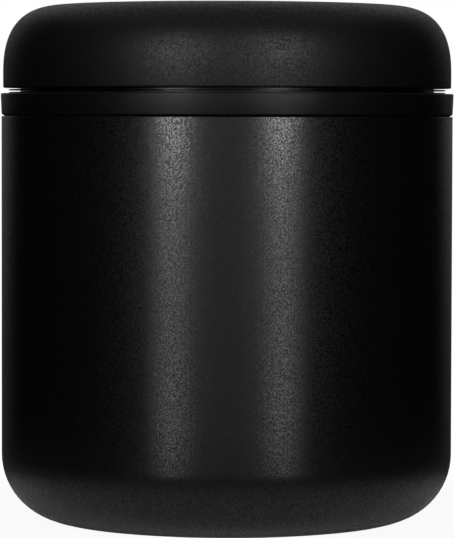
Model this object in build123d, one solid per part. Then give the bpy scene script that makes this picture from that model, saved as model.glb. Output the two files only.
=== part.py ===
"""Vacuum storage canister for coffee, with a twist pump, check valves and a release valve in its lid.

A drawn steel can stands on its flat base. The lid is a moulded base with a pump cylinder in its middle,
closed by a domed cap that turns on it. A cam drum under the cap carries three helical slots. Turning the
cap lifts and lowers an annular piston through three roller pins, so air leaves the can through one
umbrella valve and leaves the pump through another. A button in the middle of the cap pushes a valve
open to let air back in, and a green pin beside it sinks while there is a vacuum.

Units are millimetres. +Z is up, and the origin is on the ground under the centre of the can.
At rest the lid is seated, the cap is at its low stop and the piston is at the bottom of its stroke.
"""

import os
from math import atan, cos, degrees, pi, radians, sin

from build123d import *

# Driving sizes
canister_radius = 58.25
canister_height = 104.45
canister_wall = 0.8
base_corner_radius = 17.3
collar_overhang = 0.25  # of the collar beyond the can
collar_height = 5.55
lid_gap = 1.35  # open height between the collar and the skirt of the cap
dome_setback = 0.65  # of the cap's side from the collar's
dome_height = 21.6
dome_wall = 2.4
twist_angle = 60.0  # degrees that the cap turns from stop to stop
piston_stroke = 7.0

# Fits shared by neighbouring pieces
face_clearance = 0.05  # between faces that rest or turn on each other
press_clearance = 0.02  # between a pin or stem and the bore that grips it
slide_clearance = 0.15  # round a piece that slides in a guide
seal_clearance = 0.05  # a sliding seal's lip to its bore, drawn relaxed
gasket_clearance = 0.15  # the lid gasket's lip to the can's wall
overrun = 1.0  # how far a cutter passes through the face that it opens


def turned(outline):
    """A solid of revolution about Z from corners (radius, height); a third number rounds that corner."""
    corners = [(corner[0], corner[1]) for corner in outline]
    face = make_face(Polyline(*[(radius, 0, height) for radius, height in corners], close=True)).face()
    for corner in outline:
        if len(corner) == 3:
            place = (corner[0], 0, corner[1])
            vertex = face.vertices().sort_by_distance(place)[0]
            face = face.fillet_2d(corner[2], [vertex])
    return revolve(face, axis=Axis.Z)


def upright(radius, low, high, reach=0.0, turn=0.0):
    """A vertical cylinder between two heights, set out from the axis by reach at the angle turn."""
    rod = Cylinder(radius, high - low, align=(Align.CENTER, Align.CENTER, Align.MIN))
    return Rot(0, 0, turn) * Pos(reach, 0, low) * rod


def radial(radius, inner, outer, height, turn=0.0):
    """A cylinder that lies along a radius, from inner to outer, at the given height and angle."""
    rod = Cylinder(radius, outer - inner, align=(Align.CENTER, Align.CENTER, Align.MIN))
    return Rot(0, 0, turn) * Pos(inner, 0, height) * Rot(0, 90, 0) * rod


def sector(inner, outer, low, high, width_angle, turn=0.0):
    """A piece of a ring between two radii and two heights, width_angle wide and centred on turn."""
    corners = [(inner, 0, low), (outer, 0, low), (outer, 0, high), (inner, 0, high)]
    face = make_face(Polyline(*corners, close=True))
    return Rot(0, 0, turn - width_angle / 2) * revolve(face, axis=Axis.Z, revolution_arc=width_angle)


def around(shape, count, turn=0.0):
    """Equally spaced copies of a shape about Z."""
    return [Rot(0, 0, turn + 360 * number / count) * shape for number in range(count)]


def pan_screw(shank_radius, shank_length, head_radius, head_height, socket_radius, socket_depth):
    """A pan-head screw hanging from the origin: shank up, head below, with a hexagonal socket."""
    shank = upright(shank_radius, 0, shank_length)
    head = turned([
        (0, -head_height),
        (head_radius, -head_height, head_height / 3),
        (head_radius, 0),
        (0, 0),
    ])
    socket = extrude(Plane.XY.offset(-head_height) * RegularPolygon(socket_radius, 6), socket_depth)
    return shank + head - socket


# Radii of the lid, worked inwards from the can
collar_radius = canister_radius + collar_overhang
dome_radius = collar_radius - dome_setback
plug_clearance = 2.45  # between the plug and the can's wall, bridged by the gasket
plug_wall = 4.0
plug_radius = canister_radius - canister_wall - plug_clearance
trough_radius = plug_radius - plug_wall  # the cam drum turns in the trough inside the plug's wall

# Heights of the lid, stacked up from the rim of the can
gasket_flange = 0.3  # thickness of the gasket's top flange, which lies on the rim
collar_bottom = canister_height + gasket_flange + face_clearance
collar_top = collar_bottom + collar_height
dome_bottom = collar_top + lid_gap
dome_top = dome_bottom + dome_height

# The can: one deep-drawn steel shell, coated outside
base_ring_width = 8.75  # of the flat ring that carries the can
base_recess_radius = canister_radius - base_corner_radius - base_ring_width
base_recess_depth = 1.2
base_recess_slope = 2.5  # radial run of the step up to the recess
base_recess_round = 1.0
rim_round_share = 0.47  # of the wall, so that the rim is all but half-round


def canister_body():
    recess_top = base_recess_radius - base_recess_slope
    inner_radius = canister_radius - canister_wall
    rim_round = rim_round_share * canister_wall
    return turned([
        (0, base_recess_depth),
        (recess_top, base_recess_depth, base_recess_round + canister_wall),
        (base_recess_radius, 0, base_recess_round),
        (canister_radius, 0, base_corner_radius),
        (canister_radius, canister_height, rim_round),
        (inner_radius, canister_height, rim_round),
        (inner_radius, canister_wall, base_corner_radius - canister_wall),
        (base_recess_radius, canister_wall, base_recess_round + canister_wall),
        (recess_top, base_recess_depth + canister_wall, base_recess_round),
        (0, base_recess_depth + canister_wall),
    ])


# What the trough holds, from its wall inwards: the heads of the cam screws, the cam drum and the pump's wall
drum_clearance = 0.5  # round the pump, and between the screws' heads and the trough
drum_wall = 3.5
cam_screw_head_radius = 2.1
cam_screw_gap = 0.3  # between a screw's head and the drum beside it
cam_screw_reach = trough_radius - drum_clearance - cam_screw_head_radius
drum_outer = cam_screw_reach - cam_screw_head_radius - cam_screw_gap
drum_inner = drum_outer - drum_wall
cylinder_outer = drum_inner - drum_clearance

# The lid base: a moulding with the plug, the pump cylinder and the middle column
shoulder_rise = 0.35  # the shoulder under the slide ring stands this far over the collar
shoulder_width = 3.3
shoulder_radius = trough_radius + shoulder_width
collar_lip = 0.7  # the collar's inward lip, over the flange
flange_overhang = 0.6  # of the flange beyond the plug
flange_radius = plug_radius + flange_overhang
gasket_groove_depth = 2.2
gasket_groove_radius = plug_radius - gasket_groove_depth
gasket_groove_height = 7.65
plug_depth = 14.0  # below the rim
plug_round = 2.5
plug_floor = 2.0
cylinder_wall = 2.0
cylinder_radius = cylinder_outer - cylinder_wall
cylinder_round = 1.5
pump_depth = 20.9  # below the rim
pump_floor = 2.0
column_radius = 19.0
column_wall = 2.0
valve_tube_bore = 4.2
valve_tube_wall = 1.8
valve_tube_cap = 2.0
valve_tube_rise = 31.35  # from the pump floor to the spring's seat
valve_vent_radius = 0.8
valve_vent_reach = 3.05
valve_vent_count = 4
seat_bead_width = 1.0
seat_bead_height = 0.8

shoulder_top = collar_top + shoulder_rise
flange_top = collar_top - collar_lip - face_clearance
groove_bottom = collar_bottom - gasket_groove_height
plug_bottom = canister_height - plug_depth
trough_floor = plug_bottom + plug_floor
pump_bottom = canister_height - pump_depth
floor_top = pump_bottom + pump_floor
column_bore = column_radius - column_wall
valve_tube_outer = valve_tube_bore + valve_tube_wall
spring_seat = floor_top + valve_tube_rise

# The slide ring, on which the cap turns
slide_ring_setback = 1.45  # of its lip from the cap's side
slide_ring_margin = 0.5  # between its bore and the trough
slide_ring_radius = dome_radius - slide_ring_setback
slide_ring_bore = trough_radius + slide_ring_margin
slide_ring_height = 0.8
slide_ring_lip_reach = 3.0  # of the thin lip beyond the ring's body
slide_ring_lip_height = 0.3
slide_ring_lip_foot = 0.31  # of the lip over the underside of the ring
slide_ring_lip_round = 0.12
slide_ring_bottom = shoulder_top + face_clearance
slide_ring_top = slide_ring_bottom + slide_ring_height

# The hub, from its top down: trim disc, plate, washer and the cap's inner ledge
hub_recess = 0.7  # the trim disc lies this far under the top of the cap
hub_trim_height = 1.0
hub_plate_height = 2.4
hub_radius = 23.0
hub_clearance = 0.5  # round the hub, in the hole of the cap
washer_height = 0.6
ledge_height = 2.2
ledge_clearance = 0.3  # the cap's ledge turns round the column with this gap

trim_top = dome_top - hub_recess
plate_top = trim_top - hub_trim_height
plate_bottom = plate_top - hub_plate_height
column_top = plate_bottom
washer_top = plate_bottom - face_clearance
ledge_top = washer_top - washer_height - face_clearance
ledge_bottom = ledge_top - ledge_height
ledge_bore = column_radius + ledge_clearance

# The piston, its seals and the roller pins
piston_clearance = 0.35  # body of the piston to the cylinder and to the column
piston_gap = 0.4  # under the piston at the bottom of its stroke
piston_disc = 2.5
piston_rim = 2.65
piston_inner_rim = 3.1
seal_land = 1.8  # material under each seal groove
seal_height = 3.0
seal_thickness = 1.9
seal_lip = 0.7
pin_count = 3
pin_radius = 1.45
pin_margin = 0.3  # between a pin at the end of its travel and the end of its guide slot
pin_cover = 2.6  # material over and round the pin holes
pin_socket_depth = 2.4  # how far the pin boss reaches inwards from the rim
roller_radius = 2.4
roller_clearance = 0.1

piston_bottom = floor_top + piston_gap
piston_outer = cylinder_radius - piston_clearance
piston_inner = column_radius + piston_clearance
seal_bottom = piston_bottom + seal_land
seal_top = seal_bottom + seal_height
pin_height = seal_top + piston_stroke + pin_radius + 2 * pin_margin
piston_top = pin_height + pin_cover

# The cam drum, which turns with the cap
drum_foot_gap = 1.0  # over the floor of the trough
drum_flange_height = 2.2
drum_flange_margin = 1.0  # between the flange and the inside of the cap
drum_flange_radius = dome_radius - dome_wall - drum_flange_margin
drum_bottom = trough_floor + drum_foot_gap
drum_flange_bottom = slide_ring_top + face_clearance
drum_flange_top = drum_flange_bottom + drum_flange_height
pin_tip = drum_outer - 2 * roller_clearance

cam_screw_count = 6
cam_screw_turn = 30.0
cam_screw_radius = 1.2
cam_screw_length = 9.0
cam_screw_head_height = 1.4
cam_screw_hole_clearance = 0.2

# The valves in the pump
umbrella_radius = 5.6
umbrella_thickness = 0.7
umbrella_crown = 1.5  # height of the umbrella's top over its seat
umbrella_stem_radius = 1.4
umbrella_bulb_radius = 2.1
umbrella_bulb_height = 1.5
umbrella_wall = 2.0  # of the wall that the valve sits on
umbrella_port_radius = 0.8
umbrella_port_reach = 3.3
umbrella_port_count = 6
valve_well_radius = 6.8
valve_well_depth = 2.2  # from the pump floor to the intake valve's seat
valve_well_wall = 1.7
valve_well_margin = 1.0  # between the well's wall and the column
umbrella_reach = column_radius + valve_well_margin + valve_well_wall + valve_well_radius
intake_turn = 90.0
exhaust_turn = 270.0
exhaust_boss_radius = 6.6
exhaust_pocket_depth = 2.2
exhaust_pocket_radius = 4.4

# The hub plate's screws
hub_screw_count = 3
hub_screw_turn = 90.0
hub_screw_reach = 14.2
hub_screw_radius = 1.2
hub_screw_length = 8.0
hub_screw_head_radius = 2.1
hub_screw_head_height = 1.2
hub_screw_clearance = 0.15
hub_boss_radius = 3.1
hub_boss_depth = 12.0

# The vacuum indicator, beside the button
indicator_turn = 270.0
indicator_reach = 14.0
indicator_travel = 3.0
indicator_bore = 2.4
indicator_tube_wall = 1.0
indicator_port_radius = 0.9
indicator_pin_radius = 2.0
indicator_flange_radius = 2.6
indicator_flange_height = 1.0
indicator_sink = 0.1  # of the green tip under the trim disc
indicator_tube_gap = 0.4  # under the flange when the pin is down
indicator_guide_depth = 10.0  # of the pin in its tube
indicator_spring_length = 10.0
indicator_hole_clearance = 0.15
tip_round = 0.4

indicator_flange_top = plate_bottom - face_clearance
indicator_flange_bottom = indicator_flange_top - indicator_flange_height
indicator_tube_top = indicator_flange_bottom - indicator_travel - indicator_tube_gap
indicator_foot = indicator_tube_top - indicator_guide_depth
indicator_ledge = indicator_foot - indicator_spring_length
indicator_tube_radius = indicator_bore + indicator_tube_wall

# The release valve: button, stem and seal
release_travel = 2.5
button_radius = 9.0
button_proud = 0.4  # of the trim disc
button_cap = 1.8
button_wall = 1.6
button_round = 0.8
button_dish = 0.5
button_dish_radius = 7.0
button_flange_radius = 10.0
button_flange_height = 1.2
button_socket_radius = 2.9
button_socket_depth = 4.2
stem_radius = 1.5
stem_grip = 4.5  # of the stem in the button
stem_head_radius = 6.3
stem_head_height = 1.0
valve_seal_radius = 6.0
valve_seal_height = 1.4
valve_seal_round = 0.4

button_top = trim_top + button_proud
button_under = button_top - button_cap
button_flange_top = plate_bottom - face_clearance
button_flange_bottom = button_flange_top - button_flange_height
valve_seal_top = pump_bottom - seat_bead_height - face_clearance
valve_seal_bottom = valve_seal_top - valve_seal_height
stem_head_top = valve_seal_bottom
stem_bottom = stem_head_top - stem_head_height
stem_top = button_under - button_socket_depth + stem_grip

# The filter under the valves, held by a bayonet
filter_margin = 7.7  # between the cover and the side of the pump
filter_radius = cylinder_outer - filter_margin
filter_rim = 1.6
filter_floor = 1.4
filter_mesh_height = 0.4
filter_mesh_margin = 1.2  # between the mesh and the cover's wall
filter_mesh_radius = filter_radius - filter_rim - filter_mesh_margin
filter_clearance = 0.35  # under the open valve, and round the cover
filter_slot_count = 24
filter_slot_width = 1.8
filter_slot_margin = 3.0  # between the slots' ends and the edge of the mesh
filter_slot_inner = 14.0
filter_slot_outer = filter_mesh_radius - filter_slot_margin
filter_eye_radius = 1.3
filter_eye_reach = 8.5
filter_eye_count = 8
filter_grip_length = 22.0
filter_grip_width = 3.0
filter_grip_height = 3.2
bayonet_count = 3
bayonet_width = 26.0  # degrees, for the lugs and for the hooks
bayonet_hook = 1.2  # height of hook and lug
bayonet_reach = 1.6  # radial reach of the hooks
bayonet_skirt = 2.0  # wall of the skirt that carries the hooks

filter_mesh_top = stem_bottom - release_travel - filter_clearance
filter_floor_top = filter_mesh_top - filter_mesh_height
filter_bottom = filter_floor_top - filter_floor
hook_top = filter_bottom + bayonet_hook
lug_bottom = hook_top + face_clearance
lug_top = lug_bottom + bayonet_hook
skirt_bore = filter_radius + filter_clearance + bayonet_reach


def umbrella_valve(seat_height, turn):
    """A silicone umbrella valve: a domed flap over its seat, and a stem with a bulb that holds it."""
    flap_rim = umbrella_radius - umbrella_thickness
    bulb_top = -umbrella_wall - face_clearance
    bulb_bottom = bulb_top - umbrella_bulb_height
    body = turned([
        (0, umbrella_crown),
        (umbrella_bulb_radius, umbrella_crown),
        (umbrella_radius, umbrella_thickness / 2),
        (umbrella_radius, face_clearance),
        (flap_rim, face_clearance),
        (umbrella_stem_radius, umbrella_crown - umbrella_thickness),
        (umbrella_stem_radius, bulb_top),
        (umbrella_bulb_radius, bulb_top),
        (umbrella_stem_radius, bulb_bottom),
        (0, bulb_bottom),
    ])
    return Rot(0, 0, turn) * Pos(umbrella_reach, 0, seat_height) * body


def umbrella_holes(seat_height, turn):
    """The stem hole and the ring of ports that the umbrella covers, as one cutter."""
    low = seat_height - umbrella_wall - overrun
    high = seat_height + overrun
    holes = [upright(umbrella_stem_radius + press_clearance, low, high)]
    holes += around(upright(umbrella_port_radius, low, high, umbrella_port_reach), umbrella_port_count)
    return [Rot(0, 0, turn) * Pos(umbrella_reach, 0, 0) * hole for hole in holes]


intake_seat = floor_top - valve_well_depth
intake_well_bottom = intake_seat - umbrella_wall
exhaust_seat = piston_bottom + exhaust_pocket_depth + umbrella_wall


def lid_base():
    body = turned([
        (valve_tube_bore, pump_bottom - seat_bead_height),
        (valve_tube_bore + seat_bead_width, pump_bottom - seat_bead_height, seat_bead_width / 3),
        (valve_tube_bore + seat_bead_width, pump_bottom),
        (cylinder_outer, pump_bottom, cylinder_round),
        (cylinder_outer, plug_bottom),
        (plug_radius, plug_bottom, plug_round),
        (plug_radius, groove_bottom),
        (gasket_groove_radius, groove_bottom),
        (gasket_groove_radius, collar_bottom),
        (flange_radius, collar_bottom),
        (flange_radius, flange_top),
        (shoulder_radius, flange_top),
        (shoulder_radius, shoulder_top),
        (trough_radius, shoulder_top),
        (trough_radius, trough_floor, cylinder_round),
        (cylinder_outer, trough_floor),
        (cylinder_outer, flange_top),
        (cylinder_radius, flange_top),
        (cylinder_radius, floor_top),
        (column_radius, floor_top),
        (column_radius, column_top),
        (column_bore, column_top),
        (column_bore, floor_top),
        (valve_tube_outer, floor_top),
        (valve_tube_outer, spring_seat),
        (valve_tube_bore, spring_seat),
    ])
    # the cap over the release tube guides the stem and carries the button's spring
    cap = upright(valve_tube_outer, spring_seat - valve_tube_cap, spring_seat)
    skirt = turned([
        (skirt_bore, filter_bottom),
        (skirt_bore + bayonet_skirt, filter_bottom, bayonet_skirt / 4),
        (skirt_bore + bayonet_skirt, pump_bottom),
        (skirt_bore, pump_bottom),
    ])
    hook = sector(skirt_bore - bayonet_reach, skirt_bore, filter_bottom, hook_top, bayonet_width)
    body += [cap, skirt] + around(hook, bayonet_count)
    boss_low = column_top - hub_boss_depth
    boss = upright(hub_boss_radius, boss_low, column_top, hub_screw_reach)
    gusset = upright(hub_boss_radius, boss_low - hub_boss_radius, boss_low, hub_screw_reach)
    gusset &= turned([
        (column_bore, boss_low - hub_boss_radius),
        (column_bore, boss_low),
        (column_bore - 2 * hub_boss_radius, boss_low),
    ])
    body += around(boss + gusset, hub_screw_count, hub_screw_turn)
    body += upright(indicator_tube_radius, floor_top, indicator_tube_top, indicator_reach, indicator_turn)
    well_outer = valve_well_radius + valve_well_wall
    body += upright(well_outer, intake_well_bottom, floor_top, umbrella_reach, intake_turn)

    cuts = umbrella_holes(intake_seat, intake_turn)
    cuts += [
        upright(valve_well_radius, intake_seat, floor_top + overrun, umbrella_reach, intake_turn),
    ]
    for radius, low, high in [
        (indicator_bore, indicator_ledge, indicator_tube_top),
        (indicator_port_radius, pump_bottom - overrun, indicator_ledge),
    ]:
        cuts.append(upright(radius, low, high + overrun, indicator_reach, indicator_turn))
    vent_low = spring_seat - valve_tube_cap - overrun
    cuts.append(upright(stem_radius + slide_clearance, vent_low, spring_seat + overrun))
    vent = upright(valve_vent_radius, vent_low, spring_seat + overrun, valve_vent_reach)
    cuts += around(vent, valve_vent_count, 180 / valve_vent_count)
    pilot_low = column_top - hub_screw_length
    pilot = upright(hub_screw_radius + press_clearance, pilot_low, column_top + overrun, hub_screw_reach)
    cuts += around(pilot, hub_screw_count, hub_screw_turn)
    slot_radius = pin_radius + slide_clearance
    slot_low = pin_height - pin_margin
    slot = radial(slot_radius, cylinder_radius - overrun, cylinder_outer + overrun, slot_low)
    slot += Pos(cylinder_radius - overrun, 0, slot_low) * Box(
        cylinder_wall + 2 * overrun,
        2 * slot_radius,
        flange_top + overrun - slot_low,
        align=(Align.MIN, Align.CENTER, Align.MIN),
    )
    cuts += around(slot, pin_count)
    return body - cuts


# The collar: the glossy ring that shows between cap and can
collar_draft = 0.25  # how far the ring narrows towards its foot
collar_round = 0.35
collar_step_width = 2.2  # of the lower ledge round the collar's top
collar_step_height = 0.3


def collar():
    step_radius = collar_radius - collar_step_width
    return turned([
        (shoulder_radius + slide_clearance, flange_top + face_clearance),
        (flange_radius + press_clearance, flange_top + face_clearance),
        (flange_radius + press_clearance, collar_bottom + face_clearance),
        (collar_radius - collar_draft, collar_bottom + face_clearance, collar_round),
        (collar_radius, collar_top, collar_round),
        (step_radius, collar_top),
        (step_radius, collar_top + collar_step_height, collar_step_height / 3),
        (shoulder_radius + slide_clearance, collar_top + collar_step_height),
    ])


# The gasket: a soft ring with two lips that wipe the can's wall
gasket_lip_rise = 1.7
gasket_lip_thickness = 0.5
gasket_lip_spacing = 3.3
gasket_lip_foot = 0.8  # of the lower lip over the groove's floor
gasket_flange_inset = 0.75  # of the flange from the can's outer edge


def lid_gasket():
    tip = canister_radius - canister_wall - gasket_clearance
    low = groove_bottom + face_clearance
    flange_bottom = canister_height + face_clearance / 2
    flange_top_face = collar_bottom - face_clearance / 2
    outline = [
        (gasket_groove_radius + face_clearance, low),
        (plug_radius, low, gasket_lip_thickness),
    ]
    for number in range(2):
        foot = low + gasket_lip_foot + number * gasket_lip_spacing
        outline += [
            (plug_radius, foot),
            (tip, foot + gasket_lip_rise),
            (tip, foot + gasket_lip_rise + gasket_lip_thickness),
            (plug_radius, foot + 2 * gasket_lip_thickness),
        ]
    outline += [
        (plug_radius, flange_bottom),
        (canister_radius - gasket_flange_inset, flange_bottom),
        (canister_radius - gasket_flange_inset, flange_top_face),
        (gasket_groove_radius + face_clearance, flange_top_face),
    ]
    return turned(outline)


def slide_ring():
    root = slide_ring_radius - slide_ring_lip_reach
    lip_low = slide_ring_bottom + slide_ring_lip_foot
    lip_high = lip_low + slide_ring_lip_height
    return turned([
        (slide_ring_bore, slide_ring_bottom),
        (root, slide_ring_bottom),
        (root, lip_low),
        (slide_ring_radius, lip_low, slide_ring_lip_round),
        (slide_ring_radius, lip_high, slide_ring_lip_round),
        (root, lip_high),
        (root, slide_ring_top),
        (slide_ring_bore, slide_ring_top),
    ])


def intake_valve():
    return umbrella_valve(intake_seat, intake_turn)


# The hub pieces
def hub_screw_places():
    return [hub_screw_turn + 360 * number / hub_screw_count for number in range(hub_screw_count)]


def hub_plate():
    plate = upright(hub_radius, plate_bottom, plate_top)
    cuts = [
        upright(button_radius + slide_clearance, plate_bottom - overrun, plate_top + overrun),
        upright(
            indicator_pin_radius + indicator_hole_clearance,
            plate_bottom - overrun,
            plate_top + overrun,
            indicator_reach,
            indicator_turn,
        ),
    ]
    head_seat = plate_top - hub_screw_head_height - hub_screw_clearance
    for turn in hub_screw_places():
        hole_radius = hub_screw_radius + hub_screw_clearance
        cuts.append(upright(hole_radius, plate_bottom - overrun, plate_top + overrun, hub_screw_reach, turn))
        head_radius = hub_screw_head_radius + hub_screw_clearance
        cuts.append(upright(head_radius, head_seat, plate_top + overrun, hub_screw_reach, turn))
    return plate - cuts


hub_screw_socket_radius = 1.1
hub_screw_socket_depth = 0.7


def hub_screws():
    head_seat = plate_top - hub_screw_head_height - hub_screw_clearance
    shank = hub_screw_length + head_seat - plate_bottom - face_clearance
    screw = pan_screw(
        hub_screw_radius,
        shank,
        hub_screw_head_radius,
        hub_screw_head_height,
        hub_screw_socket_radius,
        hub_screw_socket_depth,
    )
    screw = Pos(hub_screw_reach, 0, head_seat + face_clearance) * Rot(180, 0, 0) * screw
    return Compound(children=around(screw, hub_screw_count, hub_screw_turn))


hub_trim_round = 0.3
hub_trim_hole_clearance = 0.2


def hub_trim():
    disc = turned([
        (button_radius + hub_trim_hole_clearance, plate_top + face_clearance),
        (hub_radius, plate_top + face_clearance),
        (hub_radius, trim_top, hub_trim_round),
        (button_radius + hub_trim_hole_clearance, trim_top, hub_trim_round),
    ])
    hole_radius = indicator_pin_radius + hub_trim_hole_clearance
    hole = upright(hole_radius, plate_top - overrun, trim_top + overrun, indicator_reach, indicator_turn)
    return disc - hole


washer_edge_gap = 0.6  # of the washer from the wall of the cap's well


def hub_washer():
    outer = hub_radius + hub_clearance - washer_edge_gap
    return turned([
        (ledge_bore, washer_top - washer_height),
        (outer, washer_top - washer_height),
        (outer, washer_top),
        (ledge_bore, washer_top),
    ])


# The cap: a moulded dome with a well for the hub, ribs and screw bosses
dome_corner_reach = 15.15  # radial reach of the rounded shoulder
dome_corner_fall = 16.9  # its fall down the side
dome_crown = 0.3  # rise of the top from the shoulder to the well
dome_well_wall = 2.0
dome_rim_round = 0.4
dome_well_round = 0.7
dome_rib_count = 6
dome_rib_width = 1.5
dome_rib_depth = 9.0
dome_boss_wall = 2.0


def dome_envelope(inset, low, bore, bore_round):
    """The solid under the dome's skin moved inwards by inset, down to low, with a bore in its middle."""
    side = dome_radius - inset
    edge = dome_top - dome_crown - inset
    crown = dome_top - inset
    start = Vector(side, 0, edge - dome_corner_fall + inset)
    end = Vector(side - dome_corner_reach + inset, 0, edge)
    shoulder = Bezier(start, (side, 0, edge), end)
    skin = Polyline(end, (bore, 0, crown), (bore, 0, low), (side, 0, low), start)
    face = make_face([shoulder, skin]).face()
    if bore_round:
        vertex = face.vertices().sort_by_distance((bore, 0, crown))[0]
        face = face.fillet_2d(bore_round, [vertex])
    rim = face.vertices().sort_by_distance((side, 0, low))[0]
    face = face.fillet_2d(dome_rim_round, [rim])
    return revolve(face, axis=Axis.Z)


def lid_dome():
    well_radius = hub_radius + hub_clearance
    well_outer = well_radius + dome_well_wall
    skin = dome_envelope(0, dome_bottom, well_radius, dome_well_round)
    hollow = dome_envelope(dome_wall, dome_bottom - overrun, well_outer, 0)
    shell = skin - hollow
    # below its ledge the well is open, so its wall ends there
    shell -= turned([
        (well_radius - overrun, dome_bottom - overrun),
        (well_outer, dome_bottom - overrun),
        (well_outer, ledge_bottom),
        (well_radius - overrun, ledge_bottom),
    ])
    shell += turned([
        (ledge_bore, ledge_bottom),
        (well_outer, ledge_bottom),
        (well_outer, ledge_top),
        (ledge_bore, ledge_top),
    ])
    boss_radius = cam_screw_radius + dome_boss_wall
    boss = upright(boss_radius, drum_flange_top + face_clearance, dome_top, cam_screw_reach)
    rib = Pos(well_outer, 0, dome_top - dome_rib_depth) * Box(
        dome_radius - well_outer,
        dome_rib_width,
        dome_rib_depth,
        align=(Align.MIN, Align.CENTER, Align.MIN),
    )
    for stiffener in around(boss, cam_screw_count, cam_screw_turn) + around(rib, dome_rib_count):
        shell += stiffener & hollow
    pilot = upright(
        cam_screw_radius + press_clearance,
        drum_flange_top - overrun,
        drum_flange_top + cam_screw_length,
        cam_screw_reach,
    )
    return shell - around(pilot, cam_screw_count, cam_screw_turn)


def cam_slot():
    """The cutter for one helical slot: from the pin's place at rest, up and round by the cap's turn."""
    rise = piston_stroke
    middle = (drum_inner + drum_outer) / 2
    half = roller_radius + roller_clearance
    slope = atan(piston_stroke / radians(twist_angle) / middle)
    helix = Helix(rise * 360 / twist_angle, rise, middle, center=(0, 0, pin_height), lefthand=True)
    section = Rectangle(drum_wall + 2 * overrun, 2 * half / cos(slope))
    section = Pos(middle, 0, pin_height) * Rot(90, 0, 0) * section
    track = sweep(section, path=helix, is_frenet=True)
    ends = [
        radial(half, drum_inner - overrun, drum_outer + overrun, pin_height),
        radial(half, drum_inner - overrun, drum_outer + overrun, pin_height + rise, -twist_angle),
    ]
    return [track] + ends


def cam_drum():
    drum = turned([
        (drum_inner, drum_bottom),
        (drum_outer, drum_bottom),
        (drum_outer, drum_flange_bottom),
        (drum_flange_radius, drum_flange_bottom),
        (drum_flange_radius, drum_flange_top),
        (drum_inner, drum_flange_top),
    ])
    for number in range(pin_count):
        for cutter in cam_slot():
            drum -= Rot(0, 0, 360 * number / pin_count) * cutter
    hole = upright(
        cam_screw_radius + cam_screw_hole_clearance,
        drum_flange_bottom - overrun,
        drum_flange_top + overrun,
        cam_screw_reach,
    )
    return drum - around(hole, cam_screw_count, cam_screw_turn)


cam_screw_socket_radius = 1.1
cam_screw_socket_depth = 0.8


def cam_screws():
    shank = cam_screw_length + drum_flange_height - 2 * face_clearance
    screw = pan_screw(
        cam_screw_radius,
        shank,
        cam_screw_head_radius,
        cam_screw_head_height,
        cam_screw_socket_radius,
        cam_screw_socket_depth,
    )
    screw = Pos(cam_screw_reach, 0, drum_flange_bottom - face_clearance) * screw
    return Compound(children=around(screw, cam_screw_count, cam_screw_turn))


# The piston and what rides on it
piston_web_count = 6
piston_web_width = 1.6
piston_web_height = 5.0
piston_inner_height = 5.0  # of the inner rim over its seal


def piston():
    outer_groove = cylinder_radius - seal_clearance - seal_thickness - face_clearance
    inner_groove = column_radius + seal_clearance + seal_thickness + face_clearance
    disc_top = piston_bottom + piston_disc
    inner_top = seal_top + piston_inner_height
    outer_rim = piston_outer - piston_rim
    inner_rim = piston_inner + piston_inner_rim
    body = turned([
        (piston_inner, piston_bottom),
        (piston_outer, piston_bottom),
        (piston_outer, seal_bottom),
        (outer_groove, seal_bottom),
        (outer_groove, seal_top),
        (piston_outer, seal_top),
        (piston_outer, piston_top),
        (outer_rim, piston_top),
        (outer_rim, disc_top),
        (inner_rim, disc_top),
        (inner_rim, inner_top),
        (piston_inner, inner_top),
        (piston_inner, seal_top),
        (inner_groove, seal_top),
        (inner_groove, seal_bottom),
        (piston_inner, seal_bottom),
    ])
    # each web ends inside the walls behind the two seal grooves
    web_inner = (inner_groove + inner_rim) / 2
    web_outer = (outer_groove + outer_rim) / 2
    web = Pos(web_inner, 0, piston_bottom) * Box(
        web_outer - web_inner,
        piston_web_width,
        piston_disc + piston_web_height,
        align=(Align.MIN, Align.CENTER, Align.MIN),
    )
    body += around(web, piston_web_count)
    boss = radial(pin_cover, outer_rim - pin_socket_depth, piston_outer, pin_height)
    boss &= upright(piston_outer, piston_bottom, piston_top)
    body += around(boss, pin_count)
    body += upright(exhaust_boss_radius, piston_bottom, exhaust_seat, umbrella_reach, exhaust_turn)
    hole_inner = outer_rim - pin_socket_depth - overrun
    hole = radial(pin_radius + press_clearance, hole_inner, piston_outer + overrun, pin_height)
    cuts = around(hole, pin_count)
    cuts += umbrella_holes(exhaust_seat, exhaust_turn)
    pocket_top = exhaust_seat - umbrella_wall
    cuts.append(
        upright(exhaust_pocket_radius, piston_bottom - overrun, pocket_top, umbrella_reach, exhaust_turn)
    )
    return body - cuts


def lipped_ring(root, tip):
    """A sliding seal: a ring in its groove with two lips towards the bore, from root to tip radius."""
    toward = 1 if tip > root else -1
    low = seal_bottom + face_clearance
    high = seal_top - face_clearance
    heel = tip - toward * seal_lip
    middle = (low + high) / 2
    return turned([
        (root, low),
        (heel, low),
        (tip, low + seal_lip),
        (heel, middle),
        (tip, high - seal_lip),
        (heel, high),
        (root, high),
    ])


def piston_outer_seal():
    tip = cylinder_radius - seal_clearance
    return lipped_ring(tip - seal_thickness, tip)


def piston_inner_seal():
    tip = column_radius + seal_clearance
    return lipped_ring(tip + seal_thickness, tip)


def exhaust_valve():
    return umbrella_valve(exhaust_seat, exhaust_turn)


def follower_pins():
    inner = piston_outer - piston_rim - pin_socket_depth
    return Compound(children=around(radial(pin_radius, inner, pin_tip, pin_height), pin_count))


def follower_rollers():
    low = drum_inner + roller_clearance
    roller = radial(roller_radius, low, pin_tip, pin_height)
    roller -= radial(pin_radius + roller_clearance / 2, low - overrun, pin_tip + overrun, pin_height)
    return Compound(children=around(roller, pin_count))


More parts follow.
